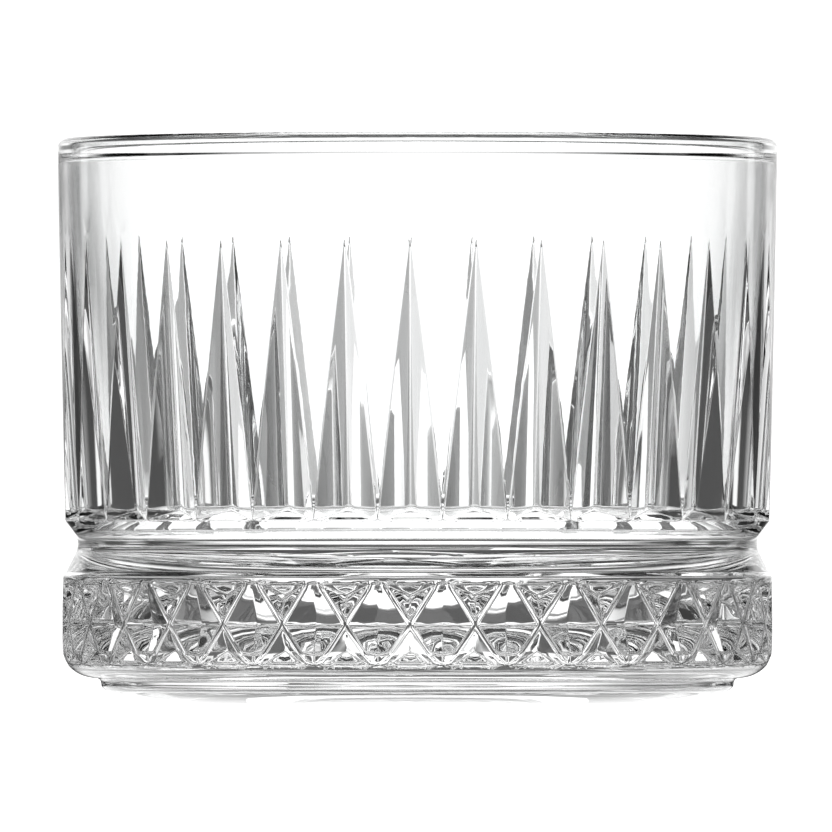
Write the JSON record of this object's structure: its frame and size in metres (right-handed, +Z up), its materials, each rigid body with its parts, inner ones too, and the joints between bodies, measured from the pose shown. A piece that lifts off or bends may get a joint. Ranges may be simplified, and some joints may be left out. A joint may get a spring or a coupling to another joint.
{
  "type": "whiskey tumbler",
  "caption": "Low clear pressed-glass whiskey tumbler with a straight fluted wall, a pinched waist, a heavy base and a cut-diamond band above a plain round foot.",
  "frame": {"origin": "centre of the foot, on the plane that the glass stands on", "axes": "+Z up along the glass's axis; one flute faces -Y within 1.2 degrees"},
  "size_m": [0.086, 0.086, 0.0676],
  "materials": {
    "clear_glass": "clear colourless soda-lime glass, fire-polished"
  },
  "bodies": {
    "root": {"foot": "clear_glass", "diamond_band": "clear_glass", "waist": "clear_glass", "bowl_floor": "clear_glass", "fluted_wall": "clear_glass", "lip": "clear_glass"}
  },
  "joints": []
}
